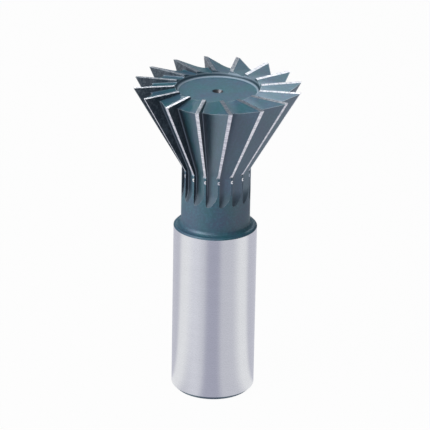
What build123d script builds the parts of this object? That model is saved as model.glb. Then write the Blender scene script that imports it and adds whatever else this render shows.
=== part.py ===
from build123d import *
import math
import os

os.makedirs("parts", exist_ok=True)

# A dovetail cutter in one piece: plain ground shank, turned neck and a head that widens to its end face.
# Millimetres. The shank's end face is at z = 0 and the axis is Z, with the cutting end upwards.

# Turned outside
cutter_dia = 50.0
overall_length = 97.0
face_angle = 60.0
shank_dia = 25.0
shank_length = 53.0
shank_end_chamfer = 1.2
shoulder_chamfer = 0.5
shoulder_flat = 0.3
neck_fillet = 1.4

# Teeth
teeth = 16
rake_offset = 1.3
land_width = 1.12
land_foot_width = 0.62
face_relief = 13.0
end_relief = 6.0
end_dish = 0.6
grinding_stock = 0.15
land_overrun = 0.1

# Flutes, as a single angle milling cutter leaves them
back_slope = 24.0
foot_round = 4.5
foot_fillet = 0.35
neck_flute_depth = 1.2
neck_flute_length = 3.3
run_out_radius = 9.0

# Gashes across the end face
gash_depth = 2.4
gash_round = 12.0
gash_fillet = 0.35

# Recess in the end face and the turning centres
recess_dia = 25.7
recess_floor_dia = 24.2
recess_depth = 2.0
recess_chamfer = 0.7
centre_mouth_dia = 3.4
centre_pilot_dia = 1.6
centre_pilot_depth = 3.6
centre_angle = 60.0
centre_point_angle = 118.0

# How far the cutting tools below reach past the work.
over_cut = 2.0

# Values that follow from the sizes above
cutter_r = cutter_dia / 2
shank_r = shank_dia / 2
neck_r = shank_r - shoulder_chamfer - shoulder_flat - neck_fillet
pitch = math.radians(360.0 / teeth)
top = overall_length
face_run = 1 / math.tan(math.radians(face_angle))
cone_foot = top - (cutter_r - neck_r) / face_run
stock_drop = grinding_stock / face_run
tip_reach = math.sqrt(cutter_r**2 - rake_offset**2)
neck_reach = math.sqrt(neck_r**2 - rake_offset**2)
centre_z = top - recess_depth


def seen_from_next_tooth(reach, offset):
    """Turns a point beside one tooth into the reach and offset that the next tooth back sees."""
    x = reach * math.cos(pitch) - offset * math.sin(pitch)
    y = reach * math.sin(pitch) + offset * math.cos(pitch)
    return x, y


def heel(height):
    """Back line of the ground land at a height, seen from the tooth behind."""
    edge = tip_reach - (top - height) * face_run
    width = land_width + (land_foot_width - land_width) * (top - height) / (top - cone_foot)
    drop = width * math.tan(math.radians(face_relief))
    return seen_from_next_tooth(edge - drop, -rake_offset - width)


# Bottom line of the flute on the rake plane: the back face runs from it up to the land in front.
slope = math.tan(math.radians(back_slope))
top_heel = heel(top)
low_heel = heel(cone_foot)
foot_run = (top_heel[0] - low_heel[0] - slope * (top_heel[1] - low_heel[1])) / (top - cone_foot)
foot_angle = math.atan(foot_run)
normal_slope = math.atan(slope * math.cos(foot_angle))
round_shift = foot_round * math.tan(normal_slope / 2)
top_foot = top_heel[0] - slope * (top_heel[1] + rake_offset - round_shift)
low_foot = low_heel[0] - slope * (low_heel[1] + rake_offset - round_shift)

# The flute's path: down the head, round into the neck and out of it on the milling cutter's radius.
neck_foot = neck_reach - neck_flute_depth
bend_z = cone_foot - (low_foot - neck_foot) / foot_run
bend_tangent = run_out_radius * math.tan(foot_angle / 2)
flute_start = (top_foot + over_cut * foot_run, top + over_cut)
bend_in = (
    neck_foot + bend_tangent * math.sin(foot_angle),
    bend_z + bend_tangent * math.cos(foot_angle),
)
bend_out = (neck_foot, bend_z - bend_tangent)
turn_in = (neck_foot, bend_z - bend_tangent - neck_flute_length)
out_turn = 60

# Bottom line of the gash, on the same rake plane: the gash face climbs from it to the end land in front.
dish_run = math.tan(math.radians(end_dish))
end_drop = land_width * math.tan(math.radians(end_relief))
back_step = rake_offset + land_width
zero_reach = (back_step * math.cos(pitch) - rake_offset) / math.sin(pitch)
gash_zero = zero_reach * math.cos(pitch) + back_step * math.sin(pitch)
gash_zero_z = top - end_drop - (tip_reach - zero_reach) * dish_run
gash_foot = top_foot - gash_depth * foot_run
gash_run = (gash_zero_z - top + gash_depth) / (gash_foot - gash_zero)
gash_angle = math.atan(gash_run)
far_x, far_y = seen_from_next_tooth(tip_reach, -back_step)
far_rise = top - end_drop - gash_zero_z + gash_run * (far_x - gash_zero)
gash_slope = far_rise / (far_y + rake_offset)
gash_normal_slope = math.atan(gash_slope * math.cos(gash_angle))
gash_lift = gash_round * math.tan(gash_normal_slope / 2) * gash_slope


def corner_profile(plane, rise, height, round_radius, fillet_radius):
    """Section of an angular milling cutter: one side on the rake plane, the other climbing away from it."""
    mid = rise / 2
    at_mid = (round_radius * (1 - math.cos(mid)), round_radius * math.sin(mid))
    at_end = (round_radius * (1 - math.cos(rise)), round_radius * math.sin(rise))
    far = at_end[1] + (height - at_end[0]) / math.tan(rise)
    with BuildSketch(plane) as section:
        with BuildLine():
            ThreePointArc((0, 0), at_mid, at_end)
            Polyline(at_end, (height, far), (height, 0), (0, 0))
        make_face()
        corner = section.vertices().sort_by_distance((0, 0, 0))[0]
        fillet(corner, radius=fillet_radius)
    return section.sketch


# Flute tool: the same section led down the head, round the bend, down the neck and out of it.
across = Vector(0, 1, 0)
flute_height = run_out_radius * 0.85


def flute_section(reach, height, lean):
    """The milling cutter's section at a point of its path, square to the path."""
    outward = Vector(math.cos(lean), 0, -math.sin(lean))
    plane = Plane(origin=(reach, -rake_offset, height), x_dir=outward, z_dir=outward.cross(across))
    return corner_profile(plane, normal_slope, flute_height, foot_round, foot_fillet)


def turning_axis(reach, height, lean):
    """Axis of the milling cutter when it cuts at a point of the path."""
    centre = (
        reach + run_out_radius * math.cos(lean),
        0,
        height - run_out_radius * math.sin(lean),
    )
    return Axis(centre, (0, -1, 0))


with BuildPart() as flute_tool:
    head_run = math.dist(flute_start, bend_in)
    down_head = Vector(-math.sin(foot_angle), 0, -math.cos(foot_angle))
    extrude(flute_section(*flute_start, foot_angle), amount=head_run, dir=down_head)
    revolve(flute_section(*bend_in, foot_angle), turning_axis(*bend_in, foot_angle), math.degrees(foot_angle))
    extrude(flute_section(*bend_out, 0), amount=neck_flute_length, dir=(0, 0, -1))
    revolve(flute_section(*turn_in, 0), turning_axis(*turn_in, 0), out_turn)

# Gash tool
gash_out = Vector(math.cos(gash_angle), 0, -math.sin(gash_angle))
gash_up = Vector(math.sin(gash_angle), 0, math.cos(gash_angle))
gash_start = Vector(gash_zero - over_cut, -rake_offset, gash_zero_z + over_cut * gash_run + gash_lift)
gash_plane = Plane(origin=gash_start, x_dir=gash_up, z_dir=gash_up.cross(across))
gash_section = corner_profile(gash_plane, gash_normal_slope, gash_depth + over_cut, gash_round, gash_fillet)
with BuildPart() as gash_tool:
    extrude(gash_section, amount=cutter_r + over_cut, dir=gash_out)

# Land tools: slabs whose lower faces are the ground lands.
slab_side = land_width / 2
slab_width = land_width + 2 * slab_side
slab_height = land_width

edge_dir = Vector(face_run, 0, 1).normalized()
behind = Vector(-math.tan(math.radians(face_relief)), -1, 0).normalized()
land_foot = cone_foot - stock_drop - land_overrun
land_start = Vector(tip_reach - (top - land_foot) * face_run, -rake_offset, land_foot)
face_frame = Plane(origin=land_start, x_dir=edge_dir, z_dir=edge_dir.cross(behind))
face_length = (top - land_foot) * math.sqrt(1 + face_run**2) + over_cut
with BuildPart(face_frame) as face_tool:
    with Locations((0, -slab_side, 0)):
        Box(face_length, slab_width, slab_height, align=(Align.MIN, Align.MIN, Align.MIN))

inward = Vector(-1, 0, -dish_run).normalized()
end_behind = Vector(0, -1, -math.tan(math.radians(end_relief))).normalized()
end_frame = Plane(origin=(tip_reach, -rake_offset, top), x_dir=inward, z_dir=inward.cross(end_behind))
end_length = cutter_r - recess_dia / 2 + 2 * over_cut
with BuildPart(end_frame) as end_tool:
    with Locations((-over_cut, -slab_side, 0)):
        Box(end_length, slab_width, slab_height, align=(Align.MIN, Align.MIN, Align.MIN))


def centre_profile(mouth_z, inward_z):
    """Half section of a turning centre bored from a face along the axis."""
    mouth = centre_mouth_dia / 2
    pilot = centre_pilot_dia / 2
    flare = math.tan(math.radians(centre_angle / 2))
    seat = (mouth - pilot) / flare
    tip = centre_pilot_depth + pilot / math.tan(math.radians(centre_point_angle / 2))
    with BuildSketch(Plane.XZ) as section:
        with BuildLine():
            Polyline(
                (0, mouth_z - inward_z * over_cut),
                (mouth + flare * over_cut, mouth_z - inward_z * over_cut),
                (pilot, mouth_z + inward_z * seat),
                (pilot, mouth_z + inward_z * centre_pilot_depth),
                (0, mouth_z + inward_z * tip),
                close=True,
            )
        make_face()
    return section.sketch


with BuildPart() as dovetail_cutter:
    # Turned blank with stock left on the head for grinding.
    blank_top = top + grinding_stock
    blank_r = neck_r + (blank_top - cone_foot + stock_drop) * face_run
    with BuildSketch(Plane.XZ) as blank:
        with BuildLine():
            Polyline(
                (0, 0),
                (shank_r, 0),
                (shank_r, shank_length),
                (neck_r, shank_length),
                (neck_r, cone_foot - stock_drop),
                (blank_r, blank_top),
                (0, blank_top),
                close=True,
            )
        make_face()
        chamfer(blank.vertices().sort_by_distance((shank_r, 0))[0], length=shank_end_chamfer)
        chamfer(blank.vertices().sort_by_distance((shank_r, shank_length))[0], length=shoulder_chamfer)
        fillet(blank.vertices().sort_by_distance((neck_r, shank_length))[0], radius=neck_fillet)
    revolve(axis=Axis.Z)

    # Recess inside the ring of end teeth.
    recess_flare = (recess_dia - recess_floor_dia) / 2 / recess_depth
    with BuildSketch(Plane.XZ) as recess:
        with BuildLine():
            Polyline(
                (0, centre_z),
                (recess_floor_dia / 2, centre_z),
                (recess_dia / 2 + recess_flare * over_cut, top + over_cut),
                (0, top + over_cut),
                close=True,
            )
        make_face()
        chamfer(recess.vertices().sort_by_distance((recess_floor_dia / 2, centre_z))[0], length=recess_chamfer)
    revolve(axis=Axis.Z, mode=Mode.SUBTRACT)

    revolve(centre_profile(centre_z, -1), Axis.Z, mode=Mode.SUBTRACT)
    revolve(centre_profile(0, 1), Axis.Z, mode=Mode.SUBTRACT)

    # Teeth: flute, gash and both ground lands, once for every tooth.
    with PolarLocations(0, teeth):
        add(flute_tool.part, mode=Mode.SUBTRACT)
    with PolarLocations(0, teeth):
        add(gash_tool.part, mode=Mode.SUBTRACT)
    with PolarLocations(0, teeth):
        add(face_tool.part, mode=Mode.SUBTRACT)
    with PolarLocations(0, teeth):
        add(end_tool.part, mode=Mode.SUBTRACT)

dovetail_cutter.part.label = "dovetail_cutter"
export_step(dovetail_cutter.part, "parts/dovetail_cutter.step")
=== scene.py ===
import math

import bmesh
import bpy
from mathutils import Matrix, Vector


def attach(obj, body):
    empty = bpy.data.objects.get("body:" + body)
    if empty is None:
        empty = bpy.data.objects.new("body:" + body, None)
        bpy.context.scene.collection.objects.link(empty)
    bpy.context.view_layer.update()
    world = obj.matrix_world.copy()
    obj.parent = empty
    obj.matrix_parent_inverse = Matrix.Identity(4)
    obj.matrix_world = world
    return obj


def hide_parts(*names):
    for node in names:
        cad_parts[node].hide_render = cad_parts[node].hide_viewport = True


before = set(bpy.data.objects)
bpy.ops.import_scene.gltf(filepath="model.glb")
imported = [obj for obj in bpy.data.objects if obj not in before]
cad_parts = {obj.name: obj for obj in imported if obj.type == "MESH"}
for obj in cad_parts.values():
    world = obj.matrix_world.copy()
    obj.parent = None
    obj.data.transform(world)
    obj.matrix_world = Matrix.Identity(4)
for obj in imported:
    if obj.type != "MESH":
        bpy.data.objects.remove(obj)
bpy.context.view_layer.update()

# Sizes of the cutter, in millimetres, as its CAD source has them
MM = 0.001
TEETH = 16
PITCH = math.radians(360 / TEETH)
CUTTER_R = 25.0
TOP = 97.0
FACE_RUN = 1 / math.tan(math.radians(60))
RAKE_OFFSET = 1.3
FACE_RELIEF = math.radians(13)
END_RELIEF = math.radians(6)
END_DISH = math.radians(0.6)
SHANK_R = 12.5
NECK_R = 10.3
RECESS_FLOOR = 95.0
CENTRE_R = 1.7
PILOT_R = 0.8
TIP = Vector((math.sqrt(CUTTER_R**2 - RAKE_OFFSET**2), -RAKE_OFFSET, TOP))
FACE_LAND = Vector((1, -math.tan(FACE_RELIEF), -FACE_RUN)).normalized()
END_LAND = Vector((-math.tan(END_DISH), -math.tan(END_RELIEF), 1)).normalized()

# The part of a turn that goes with a tooth has its middle this far behind the tooth's radius
SHARE_MIDDLE = math.radians(8.5)

# Distances, heights and radii in millimetres that tell the cutter's surfaces apart
ON_SURFACE = 0.004
SHANK_BRIGHT = (1.19, 52.51)
TEETH_ABOVE = 56.0
TURNED_BELOW = 57.0
GASH_ABOVE = 85.0
CENTRE_ABOVE = 90.0
CENTRE_WITHIN = 12.2
RECESS_RIM = 13.0

# How far the normal of a gash points up, and that of the recess wall away from the axis
GASH_UP = 0.6
WALL_OUTWARD = -0.5

# Merging and shading of the mesh, in metres and radians
SAME_CORNER = 2e-6
NO_LENGTH = 1e-7
CREASE = math.radians(22)

# Heights in millimetres between which a flute's lower end turns dull and takes painted shade
FLUTE_RUN_OUT = (63.0, 67.0)

# Bright crescents on the neck below each land, in millimetres, as their tooth sees them
MARK_HEIGHT = 69.8
MARK_OFFSET = -1.85
MARK_HALF_HEIGHT = 0.52
MARK_HALF_WIDTH = 0.60
MARK_THICKNESS = 0.80
MARK_BLUNT = 0.3
MARK_SOFT = 0.08

# Rings of painted highlight and painted shade on the recess wall, where the turning tool left fine
# steps: the radius that they lie outside, their places and tones
RINGS_OUTSIDE = 11.5
RECESS_LIGHT_RINGS = (
    (0.0, 1.0), (0.16, 1.0), (0.24, 0.0), (0.42, 0.0), (0.5, 0.5),
    (0.64, 0.5), (0.72, 0.0), (0.84, 0.0), (0.94, 0.4),
)

# Colours: steel in two tones, then oxide, and on the rake faces oxide darkened as painted shade, in
# two tints with flecks
SHANK_STEEL = ((0.71, 0.72, 0.75), (0.75, 0.76, 0.79))
LAND_STEEL = ((0.62, 0.63, 0.69), (0.97, 0.97, 1.0))
OXIDE = ((0.006, 0.088, 0.100), (0.034, 0.064, 0.118), (0.036, 0.140, 0.190))
OXIDE_IN_PAINTED_SHADE = ((0.012, 0.022, 0.028), (0.034, 0.040, 0.050), (0.130, 0.155, 0.180))

# Colours of details in the oxide, several of them painted highlight and painted shade
OXIDE_SHEEN = (0.70, 0.84, 1.0, 1)
# Light edges and corners: rubbed oxide, and painted highlight
RUBBED_OXIDE_AND_HIGHLIGHT = (0.42, 0.49, 0.54)
# Painted shade in a flute's corner along the rake face, then on its lower end
CORNER_PAINTED_SHADE = (0.001, 0.002, 0.003)
RUN_OUT_PAINTED_SHADE = (0.003, 0.010, 0.014)
# Dark and light of the painted shade and highlight rings on the recess wall
RING_SHADE_AND_HIGHLIGHT = ((0.002, 0.008, 0.012), (0.34, 0.42, 0.50))
# Painted shade: black down the pilot hole
PILOT_PAINTED_SHADE = (0.001, 0.001, 0.001)
# Bare steel of the centre cone, darkened as painted shade inside the hole
CONE_STEEL_IN_PAINTED_SHADE = (0.16, 0.16, 0.17)
MARK_STEEL = (0.95, 0.95, 0.96)

# Camera as fitted to the photograph: angles in degrees, lengths in metres
CAMERA_AZIMUTH = -80.61
CAMERA_ELEVATION = 22.60
CAMERA_ROLL = 1.06
CAMERA_DISTANCE = 0.9553
CAMERA_AIM_SIDE = -0.000143
CAMERA_AIM_HEIGHT = 0.05556
FOCAL_PIXELS = 3200
PHOTO_PIXELS = 430
SENSOR_WIDTH = 36.0

# Lamps: name, degrees round from the camera, degrees up, metres away, size, watts, mirrored
LAMPS = (
    ("left_softbox", -56, 32, 0.9, (0.5, 0.5), 6.4, True),
    ("back_strip", 168, 42, 0.8, (0.10, 0.36), 0.50, True),
    ("back_softbox", 180, 58, 0.8, (0.12, 0.12), 0.52, True),
    ("low_softbox", 186, 8, 0.8, (0.05, 0.10), 0.13, True),
    ("top_softbox", 0, 80, 0.8, (0.5, 0.5), 3.0, False),
)
LAMP_AIM = Vector((0, 0, 0.055))

# Room and floor: how light the room is, how light in the steel, and how white the floor looks
ROOM = 0.02
ROOM_IN_STEEL = 0.22
ROOM_TINT = (0.86, 1.0, 1.15)
WHITE = (1, 1, 1)
FLOOR_RADIUS = 3.0
FLOOR_SHADE = (0.3, 0.3, 0.303, 1)
FLOOR_TO_CAMERA = 0.975

# Brightness that the steel sees around it, from behind the cutter to its front
FRONT_FROM_CAMERA = -3
ROUND_THE_CUTTER = (
    (0.0, 0.86), (0.08, 0.66), (0.35, 0.67), (0.46, 1.0),
    (0.64, 1.0), (0.80, 0.74), (0.96, 0.72), (0.99, 0.50),
)


class Value:
    """A number that varies over a surface, kept as a node's output and usable in arithmetic."""

    def __init__(self, shading, socket):
        self.shading = shading
        self.socket = socket

    def maths(self, operation, *others):
        return self.shading.node("ShaderNodeMath", {"operation": operation}, [self, *others])

    def __add__(self, other):
        return self.maths("ADD", other)

    __radd__ = __add__

    def __mul__(self, other):
        return self.maths("MULTIPLY", other)

    __rmul__ = __mul__

    def __sub__(self, other):
        return self.maths("SUBTRACT", other)

    def __rsub__(self, other):
        return self.shading.node("ShaderNodeMath", {"operation": "SUBTRACT"}, [other, self])

    def __truediv__(self, other):
        return self.maths("DIVIDE", other)

    def __abs__(self):
        return self.maths("ABSOLUTE")

    def sine(self):
        return self.maths("SINE")

    def cosine(self):
        return self.maths("COSINE")

    def root(self):
        return self.maths("SQRT")

    def step(self, low, high):
        """Rises smoothly from 0 at low to 1 at high."""
        settings = {"interpolation_type": "SMOOTHSTEP"}
        return self.shading.node("ShaderNodeMapRange", settings, {0: self, 1: low, 2: high})


class Shading:
    """The nodes of a material or of the world."""

    def __init__(self, owner):
        owner.use_nodes = True
        self.tree = owner.node_tree

    def node(self, kind, settings=(), inputs=(), out=0):
        """The output of a new node, with its settings made and its inputs set or linked."""
        made = self.tree.nodes.new(kind)
        for name, value in dict(settings).items():
            setattr(made, name, value)
        pairs = inputs.items() if isinstance(inputs, dict) else enumerate(inputs)
        for key, value in pairs:
            if isinstance(value, Value):
                self.tree.links.new(value.socket, made.inputs[key])
            else:
                made.inputs[key].default_value = value
        return Value(self, made.outputs[out])

    def vector(self, x, y, z):
        return self.node("ShaderNodeCombineXYZ", {}, [x, y, z])

    def axes(self, place, scale=1.0):
        """The three numbers of a place, times scale."""
        return [self.node("ShaderNodeSeparateXYZ", {}, [place], out=axis) * scale for axis in "XYZ"]

    def noise(self, place, scale, detail):
        inputs = {"Vector": place, "Scale": scale, "Detail": detail}
        return self.node("ShaderNodeTexNoise", {}, inputs)

    def mix(self, share, first, second):
        """Colour between first and second."""
        first, second = [c if isinstance(c, Value) else (*c, 1) for c in (first, second)]
        inputs = {0: share, 6: first, 7: second}
        return self.node("ShaderNodeMix", {"data_type": "RGBA"}, inputs, out=2)

    def ramp(self, value, stops):
        """Colour that follows value through the stops, each a position and a colour."""
        result = self.node("ShaderNodeValToRGB", {}, [value])
        elements = result.socket.node.color_ramp.elements
        while len(elements) < len(stops):
            elements.new(0.5)
        for element, (position, colour) in zip(elements, stops):
            element.position = position
            element.color = (*colour, 1)
        return result

    def light_path(self, kind):
        return self.node("ShaderNodeLightPath", out=f"Is {kind} Ray")

    def show(self, surface, output):
        self.tree.links.new(surface.socket, self.tree.nodes[output].inputs["Surface"])


class Finish(Shading):
    """A material of the cutter, with its shader and what its patterns read of a point's place.

    The place is in metres. The height z, the radius, and reach and offset are in millimetres.
    Reach is along the radius of the nearest tooth, and offset is square to it.
    """

    def __init__(self, name, **constants):
        self.material = bpy.data.materials.new(name)
        super().__init__(self.material)
        self.shader = self.tree.nodes["Principled BSDF"]
        for socket, value in constants.items():
            self.shader.inputs[socket.replace("_", " ")].default_value = value
        self.place = self.node("ShaderNodeTexCoord", out="Object")
        x, y, self.z = self.axes(self.place, 1 / MM)
        self.radius = (x * x + y * y).root()
        self.angle = y.maths("ARCTAN2", x)
        turns = (self.angle + SHARE_MIDDLE) / PITCH
        own = self.angle - turns.maths("ROUND") * PITCH
        self.reach, self.offset = self.radius * own.cosine(), self.radius * own.sine()

    def paint(self, socket, value):
        self.tree.links.new(value.socket, self.shader.inputs[socket])

    def bump(self, height, distance):
        made = self.node("ShaderNodeBump", {}, {"Height": height, "Distance": distance * MM})
        self.paint("Normal", made)


def around(finish, per_turn, per_mm):
    """A place for patterns that run round the axis: slow round it and quick along it."""
    x, y = finish.angle.cosine() * per_turn, finish.angle.sine() * per_turn
    return finish.vector(x, y, finish.z * per_mm)


def ground_shank():
    """Cylindrically ground steel with fine marks round the shank."""
    finish = Finish("ground_shank_steel", Metallic=1.0, Anisotropic=0.8, Anisotropic_Rotation=0.25)
    fine = finish.noise(around(finish, 1.5, 14.0), 1.0, 4.0)
    broad = finish.noise(around(finish, 1.2, 0.35), 1.0, 2.0)
    shade = (fine * 0.7 + broad * 0.3).step(0.3, 0.7)
    finish.paint("Base Color", finish.mix(shade, *SHANK_STEEL))
    finish.paint("Roughness", 0.24 + fine * 0.06)
    finish.bump(fine, 0.0009)
    return finish.material


def ground_land():
    """Lands ground across their length, left bright."""
    finish = Finish("ground_land_steel", Metallic=1.0, Anisotropic=1.0)
    across = finish.vector(finish.offset * 0.4, finish.reach * 2.2, finish.z * 2.2)
    marks = finish.noise(across, 1.0, 5.0)
    finish.paint("Base Color", finish.mix(marks.step(0.36, 0.64), *LAND_STEEL))
    finish.paint("Roughness", 0.26 + marks * 0.12)
    finish.bump(marks, 0.002)
    return finish.material


def neck_marks(finish):
    """Where the small bright crescents below the lands are, open towards the cutting edge."""
    up = abs(finish.z - MARK_HEIGHT)
    bend = up * (2 * MARK_HALF_WIDTH - MARK_BLUNT) / MARK_HALF_HEIGHT
    depth = finish.offset - MARK_OFFSET + MARK_HALF_WIDTH - bend
    inside = depth.step(0, MARK_SOFT) * (1 - depth.step(MARK_THICKNESS - MARK_SOFT, MARK_THICKNESS))
    short = 1 - up.step(MARK_HALF_HEIGHT - 0.05, MARK_HALF_HEIGHT)
    return inside * short * finish.radius.step(NECK_R - 0.2, NECK_R - 0.1)


def painted_recess_rings(finish):
    """Rings of painted highlight and painted shade, dark and light by turns, where the turning tool
    left fine steps, and where their wall is.
    """
    height = (finish.z - RECESS_FLOOR) / (TOP - RECESS_FLOOR)
    ring_light = finish.ramp(height, [(at, (light, light, light)) for at, light in RECESS_LIGHT_RINGS])
    outside = finish.radius.step(RINGS_OUTSIDE - 0.05, RINGS_OUTSIDE + 0.05)
    above = finish.z.step(RECESS_FLOOR - 0.02, RECESS_FLOOR + 0.02)
    return ring_light, outside * above


def worn_edge_and_highlight(finish):
    """1 along the sharp edges and in sharp corners: oxide rubbed thin on the edges, and painted
    highlight along edges and corners.
    """
    rounded = finish.node("ShaderNodeBevel", {"samples": 6}, {"Radius": 0.3 * MM})
    true = finish.node("ShaderNodeNewGeometry", out="Normal")
    settings = {"operation": "DOT_PRODUCT"}
    same = finish.node("ShaderNodeVectorMath", settings, [rounded, true], out="Value")
    return 1 - same.step(0.90, 0.998)


def flute_details(finish, shaded, rough):
    """Paints shade into the corner along the rake face and onto the flute's lower end, and dulls
    that end.
    """
    corner = finish.offset.step(-RAKE_OFFSET - 0.02, -RAKE_OFFSET + 0.02)
    corner = corner * (1 - finish.offset.step(-0.9, 0.7))
    # Painted shade in the corner along the rake face
    shaded = finish.mix(corner * 0.9, shaded, CORNER_PAINTED_SHADE)
    run_out = 1 - finish.z.step(*FLUTE_RUN_OUT)
    # Painted shade on the flute's lower end
    shaded = finish.mix(run_out * 0.6, shaded, RUN_OUT_PAINTED_SHADE)
    return shaded, rough + run_out * 0.30


def turned_details(finish, shaded, rough):
    """Adds the rings of painted highlight and shade on the recess wall, the turning centre with
    painted shade in it, and the bright crescents on the neck.
    """
    ring_light, on_wall = painted_recess_rings(finish)
    # Rings of painted highlight and painted shade on the recess wall
    shaded = finish.mix(on_wall * 0.75, shaded, finish.mix(ring_light, *RING_SHADE_AND_HIGHLIGHT))
    pilot = 1 - finish.radius.step(PILOT_R, PILOT_R + 0.08)
    cone = 1 - finish.radius.step(CENTRE_R - 0.1, CENTRE_R)
    cone = cone * (1 - finish.z.step(RECESS_FLOOR - 0.1, RECESS_FLOOR - 0.05)) * (1 - pilot)
    # Painted shade: the pilot hole is black
    shaded = finish.mix(pilot, shaded, PILOT_PAINTED_SHADE)
    marks = neck_marks(finish)
    shaded = finish.mix(marks, shaded, MARK_STEEL)
    # The centre cone in bare steel, darkened as painted shade inside the hole
    shaded = finish.mix(cone, shaded, CONE_STEEL_IN_PAINTED_SHADE)
    finish.paint("Metallic", marks + cone)
    return shaded, rough - marks * 0.22


def blue_oxide(name, colours, index, milled=True, details=None):
    """Blue-grey oxide over machined steel: milling marks of a flute or gash, or turned rings."""
    finish = Finish(name, Metallic=0.0, IOR=index, Specular_Tint=OXIDE_SHEEN)
    if milled:
        along = finish.vector(finish.offset * 2.4, finish.reach * 0.25, finish.z * 0.25)
        lines = finish.noise(along, 1.0, 4.0)
    else:
        rings = finish.vector(0.0, finish.radius * 7.0, finish.z * 7.0)
        lines = finish.noise(rings, 1.0, 3.0)
    cloud = finish.noise(finish.place, 170.0, 4.0)
    grain = finish.noise(finish.place, 1500.0, 3.0)
    tint, other_tint, flecks = colours
    patch = (cloud * 0.6 + lines * 0.4).step(0.38, 0.62)
    fleck = (lines * 0.4 + grain * 0.6).step(0.42, 0.66)
    shaded = finish.mix(fleck * 0.75, finish.mix(patch, tint, other_tint), flecks)
    rough = (0.30 if milled else 0.42) + cloud * 0.10 + grain * 0.10
    if details:
        shaded, rough = details(finish, shaded, rough)
    if milled:
        # Sharp edges and corners lightened: rubbed oxide, and painted highlight
        shaded = finish.mix(worn_edge_and_highlight(finish) * 0.8, shaded, RUBBED_OXIDE_AND_HIGHLIGHT)
    finish.paint("Base Color", shaded)
    finish.paint("Roughness", rough)
    finish.bump(lines * 0.5 + grain * 0.5, 0.012 if milled else 0.003)
    return finish.material


def oxide_at(share):
    """The oxide's colours at a share of their brightness."""
    return [tuple(part * share for part in colour) for colour in OXIDE]


FINISHES = [
    blue_oxide("turned_blue_oxide", oxide_at(1.0), 2.15, milled=False, details=turned_details),
    blue_oxide("flute_blue_oxide", oxide_at(0.75), 2.5, details=flute_details),
    blue_oxide("gash_blue_oxide", oxide_at(0.95), 2.3),
    # The rake faces get the oxide darkened as painted shade
    blue_oxide("rake_face_oxide_painted_shade", OXIDE_IN_PAINTED_SHADE, 1.7),
    ground_shank(),
    ground_land(),
]
TURNED, FLUTE, GASH, RAKE, SHANK, LAND = range(len(FINISHES))


def turn_to_tooth(point):
    """The turn about the axis that brings the tooth nearest to a point onto X."""
    number = round((math.atan2(point.y, point.x) + SHARE_MIDDLE) / PITCH)
    return Matrix.Rotation(-number * PITCH, 3, "Z")


def flush(distances):
    return all(abs(distance) < ON_SURFACE for distance in distances)


def is_turned(own, radii, low, normal):
    """Whether a face is left from turning: on the shank's ends, the neck or the recess."""
    middle = sum(own, Vector()) / len(own)
    outward = Vector((middle.x, middle.y, 0)).normalized()
    faces_axis = normal.dot(outward) < WALL_OUTWARD
    recess_wall = faces_axis and low > RECESS_FLOOR - 0.1 and max(radii) < RECESS_RIM
    recess_floor = low > CENTRE_ABOVE and max(radii) < CENTRE_WITHIN
    neck = flush(radius - NECK_R for radius in radii)
    return low < TURNED_BELOW or neck or recess_wall or recess_floor


def finish_of(face):
    """Which finish a face of the cutter has, from where its corners lie."""
    corners = [v.co / MM for v in face.verts]
    turn = turn_to_tooth(face.calc_center_median() / MM)
    own = [turn @ c for c in corners]
    if any(flush(land.dot(c - TIP) for c in own) for land in (FACE_LAND, END_LAND)):
        return LAND
    radii = [math.hypot(c.x, c.y) for c in corners]
    low, high = min(c.z for c in corners), max(c.z for c in corners)
    between = low > SHANK_BRIGHT[0] and high < SHANK_BRIGHT[1]
    if between and flush(radius - SHANK_R for radius in radii):
        return SHANK
    if low > TEETH_ABOVE and flush(c.y + RAKE_OFFSET for c in own):
        return RAKE
    normal = turn @ face.normal
    if is_turned(own, radii, low, normal):
        return TURNED
    return GASH if normal.z > GASH_UP and low > GASH_ABOVE else FLUTE


def runs_smooth(edge):
    """Whether two faces with the same finish meet at an edge at a small angle."""
    kinds = {face.material_index for face in edge.link_faces}
    return len(edge.link_faces) == 2 and len(kinds) == 1 and edge.calc_face_angle(0) < CREASE


def dress_cutter():
    """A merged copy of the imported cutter, with a finish on each face and its flat faces flat."""
    mesh = bpy.data.meshes.new("cutter")
    for material in FINISHES:
        mesh.materials.append(material)
    bm = bmesh.new()
    bm.from_mesh(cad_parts["dovetail_cutter"].data)
    bmesh.ops.remove_doubles(bm, verts=bm.verts, dist=SAME_CORNER)
    bmesh.ops.dissolve_degenerate(bm, edges=bm.edges, dist=NO_LENGTH)
    bm.normal_update()
    for face in bm.faces:
        face.smooth = True
        face.material_index = finish_of(face)
    for edge in bm.edges:
        edge.smooth = runs_smooth(edge)
    bm.to_mesh(mesh)
    bm.free()
    if "custom_normal" in mesh.attributes:
        mesh.attributes.remove(mesh.attributes["custom_normal"])
    cutter = bpy.data.objects.new("cutter_finished", mesh)
    bpy.context.scene.collection.objects.link(cutter)
    even = cutter.modifiers.new("flat faces stay flat", "WEIGHTED_NORMAL")
    even.mode = "FACE_AREA_WITH_ANGLE"
    even.keep_sharp = True
    bpy.context.view_layer.update()
    evaluated = cutter.evaluated_get(bpy.context.evaluated_depsgraph_get())
    finished = bpy.data.meshes.new_from_object(evaluated)
    cutter.modifiers.clear()
    cutter.data = finished
    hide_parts("dovetail_cutter")
    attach(cutter, "root")


def seen_in_steel(shading, place):
    """How bright the pale surroundings are in a reflection: darker parts are a little bluer."""
    x, y, _ = shading.axes(place)
    front = math.radians(CAMERA_AZIMUTH + FRONT_FROM_CAMERA)
    towards = (x * math.cos(front) + y * math.sin(front)) / (x * x + y * y + 1e-9).root()
    stops = [(position, (level, level, level * 0.8 + 0.2)) for position, level in ROUND_THE_CUTTER]
    return shading.ramp(towards * 0.5 + 0.5, stops)


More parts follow.
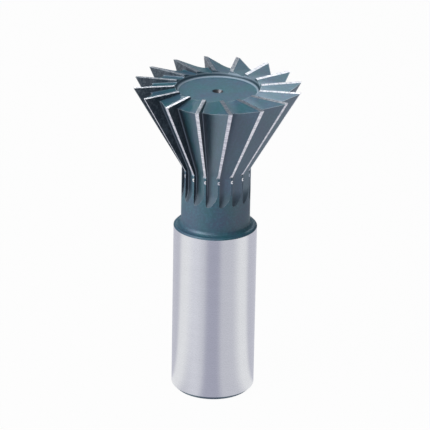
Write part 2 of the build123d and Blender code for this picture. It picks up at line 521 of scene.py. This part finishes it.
def lay_floor():
    """Pale floor that shows white to the camera and in the metal, and keeps the shadow."""
    bm = bmesh.new()
    bmesh.ops.create_circle(bm, cap_ends=True, segments=96, radius=FLOOR_RADIUS)
    mesh = bpy.data.meshes.new("floor")
    bm.to_mesh(mesh)
    bm.free()
    floor = bpy.data.objects.new("floor", mesh)
    bpy.context.scene.collection.objects.link(floor)
    material = bpy.data.materials.new("pale_floor")
    shading = Shading(material)
    pale = shading.tree.nodes["Principled BSDF"]
    pale.inputs["Base Color"].default_value = FLOOR_SHADE
    pale.inputs["Roughness"].default_value = 0.8
    place = shading.node("ShaderNodeTexCoord", out="Object")
    white = shading.node("ShaderNodeEmission", {}, {"Color": (*WHITE, 1)})
    seen = shading.node("ShaderNodeEmission", {}, {"Color": seen_in_steel(shading, place)})
    lit = Value(shading, pale.outputs[0])
    in_steel = shading.node("ShaderNodeMixShader", {}, [shading.light_path("Glossy"), lit, seen])
    share = shading.light_path("Camera") * FLOOR_TO_CAMERA
    to_camera = shading.node("ShaderNodeMixShader", {}, [share, in_steel, white])
    shading.show(to_camera, "Material Output")
    mesh.materials.append(material)


def direction(azimuth, elevation):
    """Unit vector that points away from the cutter, for angles in degrees."""
    a, e = math.radians(azimuth), math.radians(elevation)
    return Vector((math.cos(a) * math.cos(e), math.sin(a) * math.cos(e), math.sin(e)))


def hang_lamp(name, turn, elevation, distance, size, watts, mirrored):
    """Soft rectangular lamp, aimed at the cutter. It shows in the steel only if mirrored."""
    data = bpy.data.lights.new(name, "AREA")
    data.shape = "RECTANGLE"
    data.size, data.size_y = size
    data.energy = watts
    lamp = bpy.data.objects.new(name, data)
    bpy.context.scene.collection.objects.link(lamp)
    away = direction(CAMERA_AZIMUTH + turn, elevation)
    lamp.location = LAMP_AIM + away * distance
    lamp.rotation_mode = "QUATERNION"
    lamp.rotation_quaternion = away.to_track_quat("Z", "Y")
    lamp.visible_glossy = mirrored


def light_world():
    """Dim room with a cool tint, white to the camera and a little brighter in the steel."""
    world = bpy.data.worlds.new("studio")
    bpy.context.scene.world = world
    shading = Shading(world)
    level = ROOM + shading.light_path("Glossy") * (ROOM_IN_STEEL - ROOM)
    level = level + shading.light_path("Camera") * (1 - ROOM)
    colour = shading.mix(shading.light_path("Camera"), ROOM_TINT, WHITE)
    background = shading.node("ShaderNodeBackground", {}, {"Color": colour, "Strength": level})
    shading.show(background, "World Output")


def place_camera():
    """Camera where the photograph was taken from."""
    away = direction(CAMERA_AZIMUTH, CAMERA_ELEVATION)
    azimuth, roll = math.radians(CAMERA_AZIMUTH), math.radians(CAMERA_ROLL)
    right = Vector((-math.sin(azimuth), math.cos(azimuth), 0))
    up = away.cross(right)
    tilted_right = right * math.cos(roll) + up * math.sin(roll)
    tilted_up = up * math.cos(roll) - right * math.sin(roll)
    data = bpy.data.cameras.new("camera")
    data.sensor_width = SENSOR_WIDTH
    data.lens = FOCAL_PIXELS / PHOTO_PIXELS * SENSOR_WIDTH
    camera = bpy.data.objects.new("camera", data)
    bpy.context.scene.collection.objects.link(camera)
    target = right * CAMERA_AIM_SIDE + Vector((0, 0, CAMERA_AIM_HEIGHT))
    tilt = Matrix((tilted_right, tilted_up, away)).transposed().to_4x4()
    camera.matrix_world = Matrix.Translation(target + away * CAMERA_DISTANCE) @ tilt
    bpy.context.scene.camera = camera


dress_cutter()
lay_floor()
for lamp in LAMPS:
    hang_lamp(*lamp)
light_world()
place_camera()
bpy.context.scene.view_settings.view_transform = "Standard"
